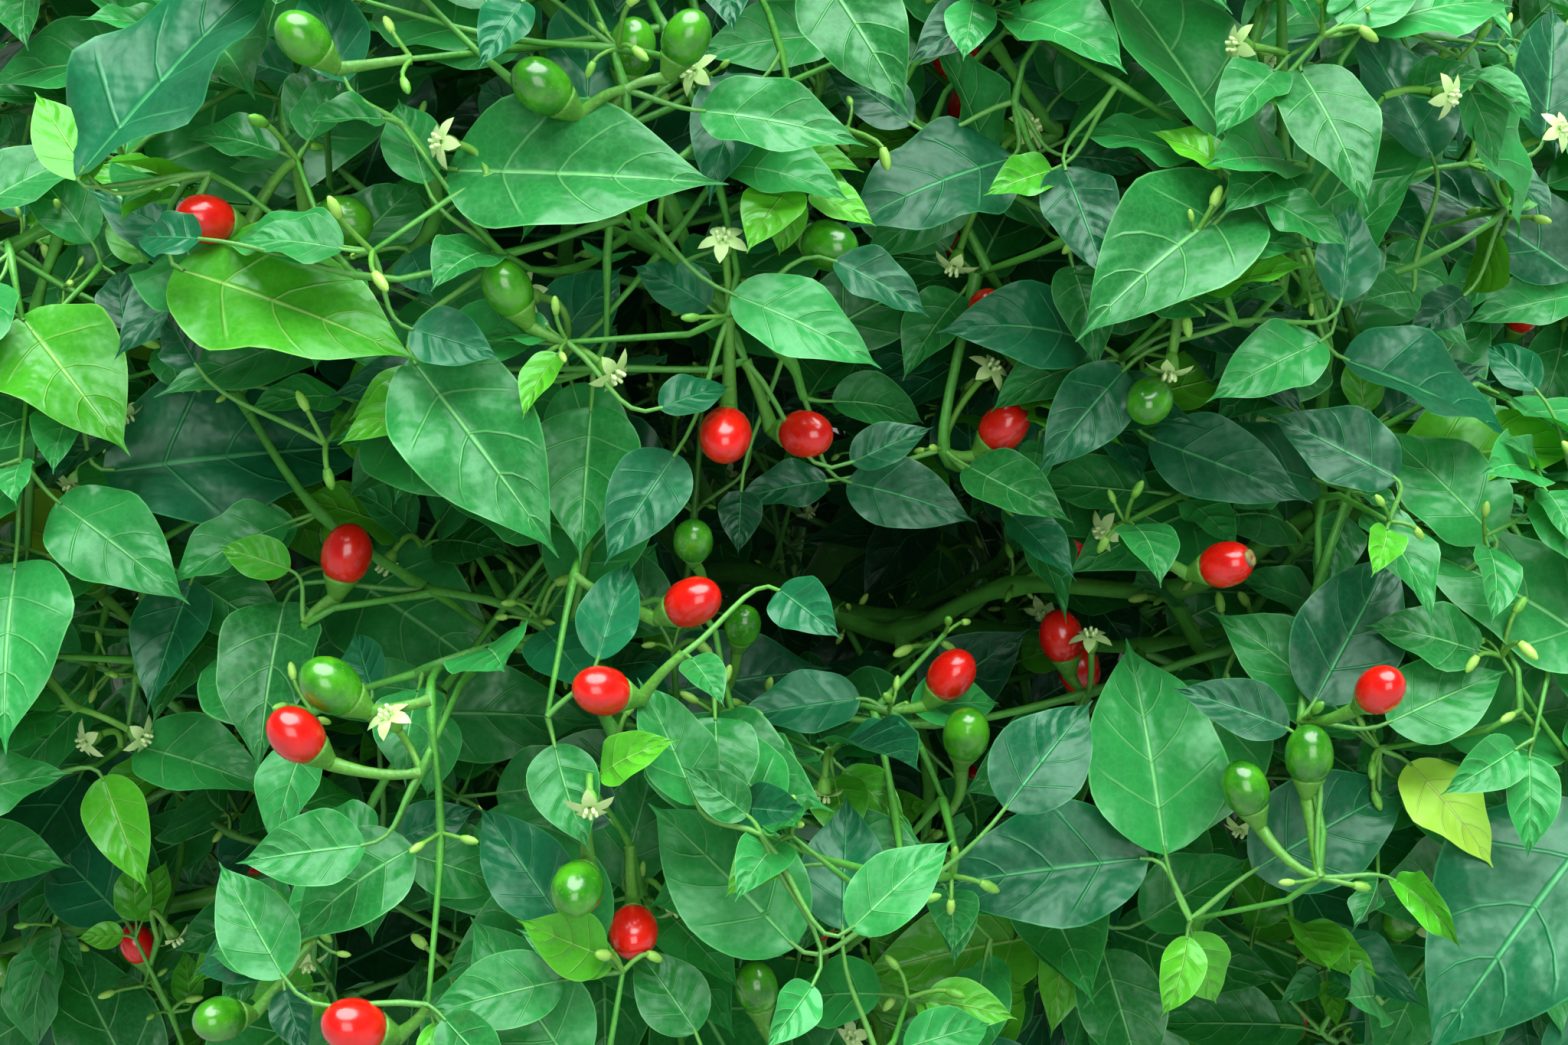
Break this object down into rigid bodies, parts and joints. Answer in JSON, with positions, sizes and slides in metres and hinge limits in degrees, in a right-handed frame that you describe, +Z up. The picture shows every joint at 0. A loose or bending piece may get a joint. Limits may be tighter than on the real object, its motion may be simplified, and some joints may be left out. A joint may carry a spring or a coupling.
{
  "type": "chilli pepper plant",
  "caption": "Bushy small-fruited chilli pepper plant with a short woody trunk, green forking boughs and leafy twigs with round berries.",
  "frame": {"origin": "middle of the flat cut under the trunk, at ground level", "axes": "+Z up along the trunk, -Y towards the side that the picture looks at, +X to the picture's right"},
  "size_m": [0.6403, 0.6555, 0.522],
  "materials": {
    "bark": "rough, fissured, grey brown",
    "stem": "satin green with pale ridges",
    "leaf": "glossy green leaf",
    "young_leaf": "glossy yellow-green young leaf",
    "deep_leaf": "satin deep bluish-green old leaf",
    "yellow_leaf": "satin yellowing leaf",
    "ripe_berry": "glossy red skin",
    "green_berry": "glossy green skin",
    "petal": "matte greenish white",
    "bud": "satin pale green"
  },
  "bodies": {
    "root": {"trunk": "bark", "bough_heart_1": "stem", "bough_heart_2": "stem", "bough_heart_3": "stem", "bough_skirt_1": "stem", "bough_skirt_2": "stem", "bough_skirt_3": "stem", "bough_skirt_4": "stem", "bough_skirt_5": "stem", "bough_skirt_6": "stem", "bough_skirt_7": "stem", "bough_side_1": "stem", "bough_side_2": "stem", "bough_side_3": "stem", "bough_side_4": "stem", "bough_side_5": "stem", "bough_side_6": "stem", "bough_side_7": "stem", "bough_side_8": "stem", "bough_shoulder_1": "stem", "bough_shoulder_2": "stem", "bough_shoulder_3": "stem", "bough_shoulder_4": "stem", "bough_shoulder_5": "stem", "bough_shoulder_6": "stem", "bough_top_1": "stem", "foliage_heart_1": "leaf", "foliage_heart_2": "leaf", "foliage_heart_3": "leaf", "foliage_skirt_1": "leaf", "foliage_skirt_2": "leaf", "foliage_skirt_3": "leaf", "foliage_skirt_4": "leaf", "foliage_skirt_5": "leaf", "foliage_skirt_6": "leaf", "foliage_skirt_7": "leaf", "foliage_side_1": "leaf", "foliage_side_2": "leaf", "foliage_side_3": "leaf", "foliage_side_4": "leaf", "foliage_side_5": "leaf", "foliage_side_6": "leaf", "foliage_side_7": "leaf", "foliage_side_8": "leaf", "foliage_shoulder_1": "leaf", "foliage_shoulder_2": "leaf", "foliage_shoulder_3": "leaf", "foliage_shoulder_4": "leaf", "foliage_shoulder_5": "leaf", "foliage_shoulder_6": "leaf", "foliage_top_1": "leaf"}
  },
  "joints": []
}
